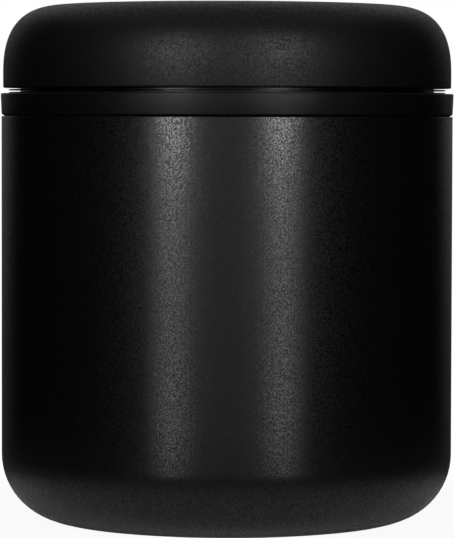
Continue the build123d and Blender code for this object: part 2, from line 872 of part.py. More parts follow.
# The release valve
def release_button():
    body = turned([
        (0, button_top - button_dish),
        (button_dish_radius, button_top, button_dish),
        (button_radius, button_top, button_round),
        (button_radius, button_flange_top),
        (button_flange_radius, button_flange_top),
        (button_flange_radius, button_flange_bottom),
        (button_radius - button_wall, button_flange_bottom),
        (button_radius - button_wall, button_under),
        (button_socket_radius, button_under),
        (button_socket_radius, button_under - button_socket_depth),
        (0, button_under - button_socket_depth),
    ])
    socket_low = button_under - button_socket_depth - overrun
    return body - upright(stem_radius + press_clearance, socket_low, stem_top)


def valve_stem():
    stem = upright(stem_radius, stem_bottom, stem_top - face_clearance)
    head = turned([
        (0, stem_bottom),
        (stem_head_radius, stem_bottom, stem_head_height / 3),
        (stem_head_radius, stem_head_top - press_clearance),
        (0, stem_head_top - press_clearance),
    ])
    return stem + head


def valve_seal():
    return turned([
        (stem_radius + press_clearance, valve_seal_bottom),
        (valve_seal_radius, valve_seal_bottom),
        (valve_seal_radius, valve_seal_top, valve_seal_round),
        (stem_radius + press_clearance, valve_seal_top),
    ])


def coil_spring(mean_radius, wire_radius, low, high, turns):
    """A compression spring between two heights: one unbroken helix of round wire."""
    rise = high - low - 2 * wire_radius
    helix = Helix(rise / turns, rise, mean_radius, center=(0, 0, low + wire_radius))
    start = Plane(helix @ 0, z_dir=helix % 0)
    coil = sweep(start * Circle(wire_radius), path=helix, is_frenet=True)
    open_gap = rise / turns * cos(atan(rise / turns / (2 * pi * mean_radius))) - 2 * wire_radius
    print(f"spring of {turns} turns: least gap between turns {open_gap:.2f} mm")
    return coil


button_spring_radius = 4.1
button_spring_wire = 0.35
button_spring_turns = 7
button_spring_trim = 0.1  # the wire's slanted ends stay this far inside the two seats


def button_spring():
    low = spring_seat + button_spring_trim
    high = button_under - button_spring_trim
    return coil_spring(button_spring_radius, button_spring_wire, low, high, button_spring_turns)


# The vacuum indicator
indicator_seal_height = 1.2
indicator_seal_width = 0.7
indicator_seal_land = 1.0


def indicator_pin():
    groove_low = indicator_foot + indicator_seal_land
    groove_high = groove_low + indicator_seal_height
    shaft = indicator_bore - slide_clearance
    body = turned([
        (0, indicator_foot),
        (shaft, indicator_foot),
        (shaft, groove_low),
        (indicator_bore - indicator_seal_width - seal_clearance, groove_low),
        (indicator_bore - indicator_seal_width - seal_clearance, groove_high),
        (shaft, groove_high),
        (shaft, indicator_flange_bottom),
        (indicator_flange_radius, indicator_flange_bottom),
        (indicator_flange_radius, indicator_flange_top),
        (indicator_pin_radius, indicator_flange_top),
        (indicator_pin_radius, trim_top - indicator_sink, tip_round),
        (0, trim_top - indicator_sink),
    ])
    return Rot(0, 0, indicator_turn) * Pos(indicator_reach, 0, 0) * body


def indicator_seal():
    low = indicator_foot + indicator_seal_land + face_clearance
    high = low + indicator_seal_height - 2 * face_clearance
    round_corner = indicator_seal_width / 3
    ring = turned([
        (indicator_bore - indicator_seal_width, low),
        (indicator_bore - seal_clearance, low, round_corner),
        (indicator_bore - seal_clearance, high, round_corner),
        (indicator_bore - indicator_seal_width, high),
    ])
    return Rot(0, 0, indicator_turn) * Pos(indicator_reach, 0, 0) * ring


indicator_spring_radius = 1.7
indicator_spring_wire = 0.2
indicator_spring_turns = 8


def indicator_spring():
    low = indicator_ledge + button_spring_trim
    high = indicator_foot - button_spring_trim
    coil = coil_spring(indicator_spring_radius, indicator_spring_wire, low, high, indicator_spring_turns)
    return Rot(0, 0, indicator_turn) * Pos(indicator_reach, 0, 0) * coil


# The filter
def filter_cover():
    wall_inner = filter_radius - filter_rim
    body = turned([
        (0, filter_bottom),
        (filter_radius, filter_bottom, filter_rim / 2),
        (filter_radius, lug_top),
        (wall_inner, lug_top),
        (wall_inner, filter_floor_top),
        (0, filter_floor_top),
    ])
    lug_outer = skirt_bore - filter_clearance
    lug = sector(wall_inner, lug_outer, lug_bottom, lug_top, bayonet_width)
    body += around(lug, bayonet_count)
    grip = Pos(0, 0, filter_bottom - filter_grip_height) * Box(
        filter_grip_length,
        filter_grip_width,
        filter_grip_height,
        align=(Align.CENTER, Align.CENTER, Align.MIN),
    )
    grip = fillet(grip.edges().group_by(Axis.Z)[0], filter_grip_width / 4)
    body += grip
    slot_middle = (filter_slot_inner + filter_slot_outer) / 2
    slot_face = Pos(slot_middle, 0) * SlotOverall(filter_slot_outer - filter_slot_inner, filter_slot_width)
    slot = extrude(Plane.XY.offset(filter_bottom - overrun) * slot_face, filter_floor + 2 * overrun)
    eye = upright(filter_eye_radius, filter_bottom - overrun, filter_floor_top + overrun, filter_eye_reach)
    cuts = around(slot, filter_slot_count, 180 / filter_slot_count)
    cuts += around(eye, filter_eye_count, 180 / filter_eye_count)
    return body - cuts


def filter_mesh():
    return upright(filter_mesh_radius, filter_floor_top + face_clearance / 2, filter_mesh_top)


PIECES = {
    "canister_body": canister_body,
    "lid_base": lid_base,
    "collar": collar,
    "lid_gasket": lid_gasket,
    "slide_ring": slide_ring,
    "intake_valve": intake_valve,
    "hub_plate": hub_plate,
    "hub_screws": hub_screws,
    "hub_trim": hub_trim,
    "hub_washer": hub_washer,
    "button_spring": button_spring,
    "indicator_spring": indicator_spring,
    "lid_dome": lid_dome,
    "cam_drum": cam_drum,
    "cam_screws": cam_screws,
    "piston": piston,
    "piston_outer_seal": piston_outer_seal,
    "piston_inner_seal": piston_inner_seal,
    "exhaust_valve": exhaust_valve,
    "follower_pins": follower_pins,
    "follower_rollers": follower_rollers,
    "release_button": release_button,
    "valve_stem": valve_stem,
    "valve_seal": valve_seal,
    "indicator_pin": indicator_pin,
    "indicator_seal": indicator_seal,
    "filter_cover": filter_cover,
    "filter_mesh": filter_mesh,
}

os.makedirs("parts", exist_ok=True)
for name, build in PIECES.items():
    export_step(build(), f"parts/{name}.step")
print(f"height {dome_top:.2f} mm, width {2 * collar_radius:.2f} mm")
print(f"pump: {degrees(radians(twist_angle)):.0f} degrees lift the piston {piston_stroke:.1f} mm")
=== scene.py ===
"""Looks of a coffee canister with a vacuum pump lid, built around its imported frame."""

from math import cos, pi, radians, sin, tan

import bmesh
import bpy
from mathutils import Matrix, Vector


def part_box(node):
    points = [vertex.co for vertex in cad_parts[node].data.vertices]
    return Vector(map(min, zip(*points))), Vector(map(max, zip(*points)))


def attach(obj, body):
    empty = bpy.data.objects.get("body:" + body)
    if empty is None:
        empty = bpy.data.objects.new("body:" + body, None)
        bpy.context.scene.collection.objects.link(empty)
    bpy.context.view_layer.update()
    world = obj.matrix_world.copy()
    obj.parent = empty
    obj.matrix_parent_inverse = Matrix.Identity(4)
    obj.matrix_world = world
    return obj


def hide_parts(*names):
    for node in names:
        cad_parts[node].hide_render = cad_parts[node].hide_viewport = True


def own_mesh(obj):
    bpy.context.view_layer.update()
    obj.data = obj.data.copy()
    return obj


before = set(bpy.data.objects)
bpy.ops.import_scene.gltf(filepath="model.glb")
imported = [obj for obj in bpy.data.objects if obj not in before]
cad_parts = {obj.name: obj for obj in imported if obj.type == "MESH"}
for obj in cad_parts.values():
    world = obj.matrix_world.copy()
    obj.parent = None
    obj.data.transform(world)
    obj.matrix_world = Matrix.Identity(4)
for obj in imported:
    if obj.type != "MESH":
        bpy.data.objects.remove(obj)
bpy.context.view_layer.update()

# The can
# Deep-drawn from one blank of stainless steel, 0.8 mm thick, with a round foot. It is powder coated matte
# black outside. Inside it is bare, with the fine rings that polishing leaves as the can spins.
mm = 0.001
can_wall = 0.8 * mm
can_corner = 17.3 * mm
can_recess_radius = 32.2 * mm
can_recess_depth = 1.2 * mm
can_recess_slope = 2.5 * mm
can_recess_round = 1.0 * mm
can_rim_round = 0.15 * mm
can_arc_steps = 16
coat_over_rim_share = 0.7  # of the rim's thickness that the coat covers
coat_colour = "#060606"
coat_pit_colour = "#030303"
coat_grain = 0.21 * mm  # one grain of the coat, which is just wide enough to show
coat_grain_height = 0.025 * mm
coat_roughness = (0.15, 0.42)  # of the smoothest and the roughest grains
coat_shine = (0.78, 0.26)  # the shader's specular level for the same two
polish_colour = "#b9b7b2"
polish_ring = 0.35 * mm
polish_height = 0.004 * mm
polish_roughness = (0.3, 0.48)
cell_span = (0.25, 0.75)  # the cells' values between which a grained skin goes from smooth to rough
sharp_angle = 32  # degrees from which an edge is drawn as an edge
axis_radius = 0.0001 * mm  # an outline's point within this radius is on the axis


def linear(hex_colour):
    """The linear colour of an sRGB hex value."""
    channels = [int(hex_colour[place:place + 2], 16) / 255 for place in (1, 3, 5)]
    return tuple(c / 12.92 if c <= 0.04045 else ((c + 0.055) / 1.055) ** 2.4 for c in channels) + (1.0,)


def fill(tree, node, inputs):
    """Gives each named input of a node its value, or a link where that is another node's output."""
    for name, value in inputs.items():
        if isinstance(value, bpy.types.NodeSocket):
            tree.links.new(value, node.inputs[name])
        else:
            node.inputs[name].default_value = value


def add(tree, kind, inputs=None, **settings):
    """Adds a node with its settings and inputs."""
    node = tree.nodes.new(kind)
    for name, value in settings.items():
        setattr(node, name, value)
    fill(tree, node, inputs or {})
    return node


def new_material(name):
    """A material and its tree, which holds a plain Principled shader."""
    material = bpy.data.materials.new(name)
    material.use_nodes = True
    return material, material.node_tree


def shade(tree, **inputs):
    """Fills the inputs of a material's Principled shader."""
    named = {label.replace("_", " "): value for label, value in inputs.items()}
    fill(tree, tree.nodes["Principled BSDF"], named)


def maths(tree, operation, *values):
    """The result of an operation on values or other nodes' outputs."""
    return add(tree, "ShaderNodeMath", dict(enumerate(values)), operation=operation).outputs["Value"]


def ranged(tree, value, ends=(0.0, 1.0), span=(0.0, 1.0), interpolation="LINEAR"):
    """A value that runs over a span, moved so that it runs from one end to the other."""
    inputs = {
        "Value": value,
        "From Min": span[0],
        "From Max": span[1],
        "To Min": ends[0],
        "To Max": ends[1],
    }
    return add(tree, "ShaderNodeMapRange", inputs, interpolation_type=interpolation).outputs["Result"]


def blend(tree, first, second, share):
    """The colour between two hex colours at a share."""
    inputs = {0: share, 6: linear(first), 7: linear(second)}
    return add(tree, "ShaderNodeMix", inputs, data_type="RGBA").outputs[2]


def noise(tree, size, detail, place=None):
    """Soft patches of about this size, through the whole object or over the places given."""
    if place is None:
        place = add(tree, "ShaderNodeTexCoord").outputs["Object"]
    inputs = {"Vector": place, "Scale": 1 / size, "Detail": detail}
    return add(tree, "ShaderNodeTexNoise", inputs).outputs["Fac"]


def bumped(tree, height, depth, strength):
    """The normal of a surface that is raised by a height."""
    inputs = {"Height": height, "Distance": depth, "Strength": strength}
    return add(tree, "ShaderNodeBump", inputs).outputs["Normal"]


def grained_skin(name, pit_colour, face_colour, grain, height, roughness, shine):
    """A dull skin of fine cells, each with its own colour, roughness and shine, that glints in highlights."""
    material, tree = new_material(name)
    place = add(tree, "ShaderNodeTexCoord").outputs["Object"]
    cells = add(tree, "ShaderNodeTexVoronoi", {"Vector": place, "Scale": 1 / grain}).outputs
    shade(
        tree,
        Base_Color=blend(tree, pit_colour, face_colour, cells["Color"]),
        Roughness=ranged(tree, cells["Color"], roughness, cell_span),
        Specular_IOR_Level=ranged(tree, cells["Color"], shine, cell_span),
        IOR=1.5,
        Normal=bumped(tree, cells["Distance"], height, strength=0.5),
    )
    return material


def polished_stainless():
    """Bare 18/8 stainless, polished as it spins: rings round the can that draw each light out sideways."""
    material, tree = new_material("polished_stainless")
    place = add(tree, "ShaderNodeTexCoord").outputs["Object"]
    split = add(tree, "ShaderNodeSeparateXYZ", {"Vector": place}).outputs
    flat = add(tree, "ShaderNodeCombineXYZ", {"X": split["X"], "Y": split["Y"]}).outputs["Vector"]
    radius = add(tree, "ShaderNodeVectorMath", {0: flat}, operation="LENGTH").outputs["Value"]
    ring_place = add(tree, "ShaderNodeCombineXYZ", {"X": radius, "Z": split["Z"]}).outputs["Vector"]
    rings = noise(tree, polish_ring, detail=4.0, place=ring_place)
    shade(
        tree,
        Base_Color=linear(polish_colour),
        Metallic=1.0,
        Roughness=ranged(tree, rings, polish_roughness),
        Normal=bumped(tree, rings, polish_height, strength=0.5),
    )
    return material


def rounded(outline, steps=6):
    """Points of an outline of (radius, height) corners; a third number rounds that corner with an arc."""
    points = []
    for number, corner in enumerate(outline):
        here = Vector(corner[:2])
        if len(corner) == 2:
            points.append(here)
            continue
        before = (Vector(outline[number - 1][:2]) - here).normalized()
        after = (Vector(outline[(number + 1) % len(outline)][:2]) - here).normalized()
        half = before.angle(after) / 2
        centre = here + (before + after).normalized() * corner[2] / sin(half)
        start = here + before * corner[2] / tan(half) - centre
        end = here + after * corner[2] / tan(half) - centre
        sweep = start.angle_signed(end)
        for step in range(steps + 1):
            points.append(centre + Matrix.Rotation(-sweep * step / steps, 2) @ start)
    return points


def spin(shape, points, split=None, segments=256):
    """Turns an outline about Z into a shape; from the point numbered split on, it has the second material."""
    rings = []
    for radius, height in points:
        turns = segments if radius > axis_radius else 1
        angles = [2 * pi * number / segments for number in range(turns)]
        rings.append([shape.verts.new((radius * cos(a), radius * sin(a), height)) for a in angles])
    for number, ring in enumerate(rings):
        above = rings[(number + 1) % len(rings)]
        for place in range(segments):
            beside = (place + 1) % segments
            corners = [
                ring[place % len(ring)],
                ring[beside % len(ring)],
                above[beside % len(above)],
                above[place % len(above)],
            ]
            corners = list(dict.fromkeys(corners))
            if len(corners) > 2:
                face = shape.faces.new(corners)
                face.material_index = int(split is not None and number >= split)
    bmesh.ops.recalc_face_normals(shape, faces=shape.faces)


def piece(name, shape, materials):
    """An object from a bmesh, smooth except at its sharp edges."""
    mesh = bpy.data.meshes.new(name)
    shape.to_mesh(mesh)
    shape.free()
    mesh.shade_smooth()
    mesh.set_sharp_from_angle(angle=radians(sharp_angle))
    for material in materials:
        mesh.materials.append(material)
    made = bpy.data.objects.new(name, mesh)
    bpy.context.scene.collection.objects.link(made)
    return made


def turned(name, points, materials, split=None):
    """A piece turned about Z from its outline."""
    shape = bmesh.new()
    spin(shape, points, split)
    return piece(name, shape, materials)


can_radius, can_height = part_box("canister_body")[1].xz
can_outside = rounded([
    (0, can_recess_depth),
    (can_recess_radius - can_recess_slope, can_recess_depth, can_recess_round + can_wall),
    (can_recess_radius, 0, can_recess_round),
    (can_radius, 0, can_corner),
    (can_radius, can_height, can_rim_round),
    (can_radius - can_wall, can_height, can_rim_round),
    (can_radius - can_wall, can_wall, can_corner - can_wall),
    (can_recess_radius, can_wall, can_recess_round + can_wall),
    (can_recess_radius - can_recess_slope, can_recess_depth + can_wall, can_recess_round),
    (0, can_recess_depth + can_wall),
], steps=can_arc_steps)
coat_edge = can_radius - coat_over_rim_share * can_wall
coat_end = next(n for n, (r, z) in enumerate(can_outside) if r < coat_edge and z > can_height / 2)
# polyester powder coat, baked on: a close dull grain that glints in the highlights
powder_coat = grained_skin(
    "powder_coat",
    coat_pit_colour,
    coat_colour,
    coat_grain,
    coat_grain_height,
    coat_roughness,
    coat_shine,
)
can_shell = turned("can_shell", can_outside, [powder_coat, polished_stainless()], split=coat_end)
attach(can_shell, "canister")
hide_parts("canister_body")

# The lid base
# One black polypropylene moulding: the plug that enters the can, the pump cylinder, the trough round it and
# the middle column. Its surface is the satin of a plain tool, with slow sink marks.
moulding_colour = "#1c1c1d"
moulding_grain = 0.25 * mm
moulding_grain_height = 0.004 * mm
moulding_sink = 9.0 * mm
moulding_roughness = (0.34, 0.5)


def moulded_polypropylene():
    """Black polypropylene from a plain tool: waxy satin, never quite flat."""
    material, tree = new_material("moulded_polypropylene")
    grain = noise(tree, moulding_grain, detail=3.0)
    sink = noise(tree, moulding_sink, detail=1.0)
    shade(
        tree,
        Base_Color=linear(moulding_colour),
        Roughness=ranged(tree, sink, moulding_roughness),
        IOR=1.49,
        Normal=bumped(tree, grain, moulding_grain_height, strength=0.3),
    )
    return material


def dress(node, material):
    """Gives a piece of the frame its material."""
    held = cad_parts[node]
    for slot in held.material_slots:
        slot.link = "OBJECT"
        slot.material = material
    if not held.material_slots:
        held.data.materials.append(material)


black_polypropylene = moulded_polypropylene()
dress("lid_base", black_polypropylene)

# The lid gasket and the intake valve
# Both are moulded in food-grade silicone. The gasket is black and sits in a groove of the plug. The umbrella
# valve is grey, and is pulled through its hole by the stem until the bulb snaps out behind it.
gasket_colour = "#070707"
gasket_bloom_colour = "#0d0d0d"
silicone_colour = "#7d7e7c"
silicone_bloom_colour = "#8f908d"
silicone_bloom = 3.0 * mm
silicone_roughness = (0.42, 0.6)


def moulded_silicone(name, plain, bloomed):
    """Food-grade silicone: soft and dull, with a dry bloom on it and light that goes a little way in."""
    material, tree = new_material(name)
    bloom = noise(tree, silicone_bloom, detail=5.0)
    shade(
        tree,
        Base_Color=blend(tree, plain, bloomed, bloom),
        Roughness=ranged(tree, bloom, silicone_roughness),
        IOR=1.41,
        Subsurface_Weight=0.25,
        Subsurface_Scale=1.0 * mm,
    )
    return material


grey_silicone = moulded_silicone("grey_silicone", silicone_colour, silicone_bloom_colour)
black_silicone = moulded_silicone("black_silicone", gasket_colour, gasket_bloom_colour)
dress("lid_gasket", black_silicone)
dress("intake_valve", grey_silicone)

# The collar
# A separate ring in black ABS that snaps over the flange of the lid base. It comes from a polished tool and
# is a little rubbed, so it mirrors softly, with the slow waves that a thin glossy moulding always has.
collar_draft = 0.25 * mm
collar_round = 0.35 * mm
collar_inner = 54.45 * mm
collar_lip = 1.0 * mm
collar_bore = 55.62 * mm
collar_step_width = 2.2 * mm
collar_step_height = 0.3 * mm
collar_step_round = 0.1 * mm
skirt_inner = 57.53 * mm  # the skirt leans in under the collar and keeps the groove above the rim dark
skirt_foot = 57.6 * mm
skirt_root = 57.98 * mm
skirt_drop = 0.34 * mm
gloss_colour = "#060606"
gloss_wave = 7.0 * mm
gloss_wave_height = 0.05 * mm
gloss_haze = 8.0 * mm
collar_roughness = (0.26, 0.5)
collar_shine = 0.18


def polished_abs(name, roughness, shine=0.5):
    """ABS from a polished tool: a gloss over deep black, bent by slow waves in the surface."""
    material, tree = new_material(name)
    wave = noise(tree, gloss_wave, detail=1.0)
    haze = noise(tree, gloss_haze, detail=4.0)
    shade(
        tree,
        Base_Color=linear(gloss_colour),
        Roughness=ranged(tree, haze, roughness),
        Specular_IOR_Level=shine,
        IOR=1.54,
        Normal=bumped(tree, wave, gloss_wave_height, strength=0.4),
    )
    return material


collar_low, collar_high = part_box("collar")
collar_step = collar_high.x - collar_step_width
collar_ledge = collar_high.z - collar_step_height
rubbed_black = polished_abs("rubbed_abs", collar_roughness, collar_shine)
lid_collar = turned("lid_collar", rounded([
    (collar_inner, collar_high.z - collar_lip),
    (collar_bore, collar_high.z - collar_lip),
    (collar_bore, collar_low.z),
    (skirt_inner, collar_low.z),
    (skirt_inner, collar_low.z - skirt_drop),
    (skirt_foot, collar_low.z - skirt_drop),
    (skirt_root, collar_low.z),
    (collar_high.x - collar_draft, collar_low.z, collar_round),
    (collar_high.x, collar_ledge, collar_round),
    (collar_step, collar_ledge),
    (collar_step, collar_high.z, collar_step_round),
    (collar_inner, collar_high.z),
]), [rubbed_black])
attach(lid_collar, "lid")
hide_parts("collar")

# The slide ring
# A thin ring in polished black ABS on the shoulder of the lid base, with a fine lip all round. The cap turns
# on it, and the lip keeps crumbs out of the slit between cap and collar.
ring_bore = 51.5 * mm
ring_lip_reach = 3.0 * mm
ring_lip_foot = 0.31 * mm
ring_lip_height = 0.3 * mm
ring_lip_round = 0.12 * mm
ring_roughness = (0.18, 0.34)

ring_low, ring_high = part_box("slide_ring")
ring_body = ring_high.x - ring_lip_reach
ring_lip_low = ring_low.z + ring_lip_foot
ring_lip_high = ring_lip_low + ring_lip_height
gloss_black = polished_abs("polished_abs", ring_roughness)
lip_ring = turned("lip_ring", rounded([
    (ring_bore, ring_low.z),
    (ring_body, ring_low.z),
    (ring_body, ring_lip_low),
    (ring_high.x, ring_lip_low, ring_lip_round),
    (ring_high.x, ring_lip_high, ring_lip_round),
    (ring_body, ring_lip_high),
    (ring_body, ring_high.z),
    (ring_bore, ring_high.z),
]), [gloss_black])
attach(lip_ring, "lid")
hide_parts("slide_ring")

# The cap
# The domed cap that the hand turns, moulded in black ABS. Its outside has a fine spark-eroded texture that
# makes it duller and a shade browner than the can. Ribs and screw bosses stand inside it.
cap_wall = 2.4 * mm
cap_reach = 15.15 * mm
cap_fall = 16.9 * mm
cap_crown = 0.3 * mm
cap_well = 23.5 * mm
cap_well_wall = 2.0 * mm
cap_ledge_bore = 19.3 * mm
cap_ledge = 2.2 * mm
cap_ledge_drop = 7.0 * mm
cap_rim_round = 0.4 * mm
cap_well_round = 0.7 * mm
cap_curve_steps = 28
cap_colour = "#070606"
cap_pit_colour = "#030303"
cap_grain = 0.24 * mm
cap_grain_height = 0.03 * mm
cap_roughness = (0.39, 0.6)
cap_shine = (0.34, 0.16)
rib_count = 6
rib_width = 1.5 * mm
rib_depth = 9.0 * mm
boss_reach = 48.4 * mm
boss_radius = 3.2 * mm
boss_hole = 1.22 * mm
boss_hole_depth = 9.0 * mm
boss_gap = 0.05 * mm
boss_turn = 30  # degrees from the ribs
boss_count = 6
boss_sides = 24
cap_low, cap_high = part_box("lid_dome")
cap_side = cap_high.x


def cap_curve(inset, low, bore):
    """The cap's skin moved inwards: up its side, round the shoulder and in to the bore."""
    side = cap_side - inset
    edge = cap_high.z - cap_crown - inset
    start = Vector((side, edge - cap_fall + inset))
    turn = Vector((side, edge))
    end = Vector((side - cap_reach + inset, edge))
    points = [Vector((side, low))]
    for step in range(cap_curve_steps + 1):
        share = step / cap_curve_steps
        points.append(start.lerp(turn, share).lerp(turn.lerp(end, share), share))
    return points + [Vector((bore, cap_high.z - inset))]


cap_floor = cap_high.z - cap_ledge_drop
cap_ledge_top = cap_floor + cap_ledge
cap_outer = cap_curve(0, cap_low.z, cap_well)
cap_inner = cap_curve(cap_wall, cap_low.z, cap_well + cap_well_wall)
cap_rim = rounded([tuple(cap_inner[0]), (cap_side, cap_low.z, cap_rim_round), tuple(cap_outer[1])])[1:-1]
cap_edge = rounded([tuple(cap_outer[-2]), (*cap_outer[-1], cap_well_round), (cap_well, cap_ledge_top)])[1:-1]
cap_points = cap_rim + cap_outer[1:-1] + cap_edge + [
    Vector((cap_well, cap_ledge_top)),
    Vector((cap_ledge_bore, cap_ledge_top)),
    Vector((cap_ledge_bore, cap_floor)),
    Vector((cap_well + cap_well_wall, cap_floor)),
] + cap_inner[::-1]
cap_shape = bmesh.new()
spin(cap_shape, cap_points)

# the middle of the cap's wall, where ribs and bosses end
cap_core = cap_curve(cap_wall / 2, cap_low.z, cap_well + cap_well_wall / 2)
rib_low = cap_high.z - rib_depth
rib_side = [point for point in cap_core if point.y > rib_low]
rib_outline = [Vector((cap_core[-1].x, rib_low)), Vector((rib_side[0].x, rib_low))] + rib_side
for number in range(rib_count):
    turn = Matrix.Rotation(2 * pi * number / rib_count, 4, "Z")
    flanks = []
    for side in (-1, 1):
        places = [turn @ Vector((p.x, side * rib_width / 2, p.y)) for p in rib_outline]
        flanks.append([cap_shape.verts.new(place) for place in places])
    cap_shape.faces.new(flanks[0])
    cap_shape.faces.new(flanks[1][::-1])
    for here, there in zip(range(len(rib_outline)), [*range(1, len(rib_outline)), 0]):
        cap_shape.faces.new([flanks[0][there], flanks[0][here], flanks[1][here], flanks[1][there]])

boss_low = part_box("cam_drum")[1].z + boss_gap
for number in range(boss_count):
    turn = Matrix.Rotation(radians(boss_turn) + 2 * pi * number / boss_count, 4, "Z")
    rings = []
    for radius, height in (
        (boss_radius, None),  # up to the wall of the cap
        (boss_radius, boss_low),
        (boss_hole, boss_low),
        (boss_hole, boss_low + boss_hole_depth),
    ):
        ring = []
        for step in range(boss_sides):
            angle = 2 * pi * step / boss_sides
            place = Vector((boss_reach + radius * cos(angle), radius * sin(angle), height or 0))
            if height is None:
                reach = place.length
                outer, inner = next(pair for pair in zip(cap_core[1:], cap_core[2:]) if pair[1].x <= reach)
                place.z = outer.lerp(inner, (outer.x - reach) / (outer.x - inner.x)).y
            ring.append(cap_shape.verts.new(turn @ place))
        rings.append(ring)
    for first, second in zip(rings, rings[1:]):
        for step in range(boss_sides):
            after = (step + 1) % boss_sides
            cap_shape.faces.new([first[after], first[step], second[step], second[after]])
    cap_shape.faces.new(rings[0])
    cap_shape.faces.new(rings[-1])
bmesh.ops.recalc_face_normals(cap_shape, faces=cap_shape.faces)
# ABS from a spark-eroded tool: a close dry grain that scatters light evenly
spark_textured_abs = grained_skin(
    "spark_textured_abs",
    cap_pit_colour,
    cap_colour,
    cap_grain,
    cap_grain_height,
    cap_roughness,
    cap_shine,
)
pump_cap = piece("pump_cap", cap_shape, [spark_textured_abs])
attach(pump_cap, "dome")
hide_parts("lid_dome")

# The cam drum and its screws
# The drum is black acetal, hard and slippery, with three helical slots. Six pan-head steel screws pull its
# flange up against the bosses of the cap.
drum_colour = "#0b0b0b"
drum_cloud_colour = "#101010"
acetal_colour = "#d9d6cc"
acetal_cloud_colour = "#e2dfd6"
acetal_cloud = 6.0 * mm
steel_colour = "#c2c0bb"
steel_lines = 0.3 * mm
steel_roughness = (0.2, 0.38)


def turned_acetal(name, plain, clouded):
    """Acetal, dyed or not: a little see-through at thin edges, with a greasy shine."""
    material, tree = new_material(name)
    cloud = noise(tree, acetal_cloud, detail=2.0)
    shade(
        tree,
        Base_Color=blend(tree, plain, clouded, cloud),
        Roughness=0.35,
        IOR=1.48,
        Subsurface_Weight=0.15,
        Subsurface_Scale=1.5 * mm,
    )
    return material


def bright_steel():
    """Cold-drawn steel, bright, with the faint lines of drawing and turning."""
    material, tree = new_material("bright_steel")
    lines = noise(tree, steel_lines, detail=3.0)
    shade(
        tree,
        Base_Color=linear(steel_colour),
        Metallic=1.0,
        Roughness=ranged(tree, lines, steel_roughness),
    )
    return material


black_acetal = turned_acetal("black_acetal", drum_colour, drum_cloud_colour)
white_acetal = turned_acetal("natural_acetal", acetal_colour, acetal_cloud_colour)
steel = bright_steel()
dress("cam_drum", black_acetal)
dress("cam_screws", steel)

# The piston with its seals, valve, pins and rollers
# The piston is the same black polypropylene as the lid base. Two silicone rings seal it, three ground steel
# pins are pressed into it, and an acetal roller turns on each.
dress("piston", black_polypropylene)
for node in ("piston_outer_seal", "piston_inner_seal", "exhaust_valve"):
    dress(node, grey_silicone)
dress("follower_pins", steel)
dress("follower_rollers", white_acetal)

# The hub
# A polypropylene plate, screwed to the column, keeps the cap down, with a thin acetal washer under it. A trim
# disc in polished ABS snaps in over the three screws.
dress("hub_plate", black_polypropylene)
dress("hub_screws", steel)
dress("hub_washer", white_acetal)
dress("hub_trim", gloss_black)

# The release valve
# A button in polished ABS on a steel stem. Pushing it moves the silicone seal off its seat below, and a coil
# spring of round steel wire in the column brings it back.
button_dish = 0.5 * mm
button_dish_radius = 7.0 * mm
button_radius = 9.0 * mm
button_round = 0.8 * mm
button_flange = 1.2 * mm
button_wall = 1.6 * mm
button_cap = 1.8 * mm
button_flange_drop = 3.85 * mm
button_arc_steps = 10
button_wire = 0.35 * mm
button_turns = 7
coil_steps = 36  # points of the wire for each turn
coil_sides = 10

button_reach, button_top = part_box("release_button")[1].xz
button_flange_top = button_top - button_flange_drop
push_button = turned("push_button", rounded([
    (0, button_top - button_dish),
    (button_dish_radius, button_top, button_dish),
    (button_radius, button_top, button_round),
    (button_radius, button_flange_top),
    (button_reach, button_flange_top),
    (button_reach, button_flange_top - button_flange),
    (button_radius - button_wall, button_flange_top - button_flange),
    (button_radius - button_wall, button_top - button_cap),
    (0, button_top - button_cap),
], steps=button_arc_steps), [gloss_black])
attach(push_button, "button")
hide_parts("release_button")
dress("valve_stem", steel)
dress("valve_seal", grey_silicone)


def add_wire(shape, path, radius, sides):
    """Adds a round wire along a path, with flat ends."""
    rings = []
    for number, point in enumerate(path):
        along = path[min(number + 1, len(path) - 1)] - path[max(number - 1, 0)]
        across = along.cross(Vector((0, 0, 1))).normalized()
        over = across.cross(along).normalized()
        angles = [2 * pi * step / sides for step in range(sides)]
        rings.append([shape.verts.new(point + radius * (across * cos(a) + over * sin(a))) for a in angles])
    for here, there in zip(rings, rings[1:]):
        for step in range(sides):
            after = (step + 1) % sides
            shape.faces.new([here[step], here[after], there[after], there[step]])
    shape.faces.new(rings[0])
    shape.faces.new(rings[-1])


def coil(name, node, wire_radius, turns):
    """A compression spring as high as its node."""
    low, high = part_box(node)
    middle = (low + high) / 2
    reach = (high.x - low.x) / 2 - wire_radius
    rise = high.z - low.z - 2 * wire_radius
    path = []
    for number in range(turns * coil_steps + 1):
        angle = 2 * pi * number / coil_steps
        height = low.z + wire_radius + rise * number / (turns * coil_steps)
        path.append(Vector((middle.x + reach * cos(angle), middle.y + reach * sin(angle), height)))
    shape = bmesh.new()
    add_wire(shape, path, wire_radius, coil_sides)
    bmesh.ops.recalc_face_normals(shape, faces=shape.faces)
    made = piece(name, shape, [steel])
    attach(made, "lid")
    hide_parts(node)
    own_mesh(made)


coil("return_coil", "button_spring", button_wire, button_turns)

# The vacuum indicator
# A pin in green ABS that stands level with the trim disc, and sinks when there is a vacuum under it. A small
# silicone ring seals it in its tube, and a light spring lifts it.
indicator_wire = 0.2 * mm
indicator_turns = 8
indicator_colour = "#2f9a45"
indicator_swirl_colour = "#37a54e"
indicator_swirl = 1.5 * mm


def dyed_abs():
    """ABS dyed green through and through, polished at the tip."""
    material, tree = new_material("dyed_abs")
    swirl = noise(tree, indicator_swirl, detail=2.0)
    shade(
        tree,
        Base_Color=blend(tree, indicator_colour, indicator_swirl_colour, swirl),
        Roughness=0.22,
        IOR=1.54,
    )
    return material


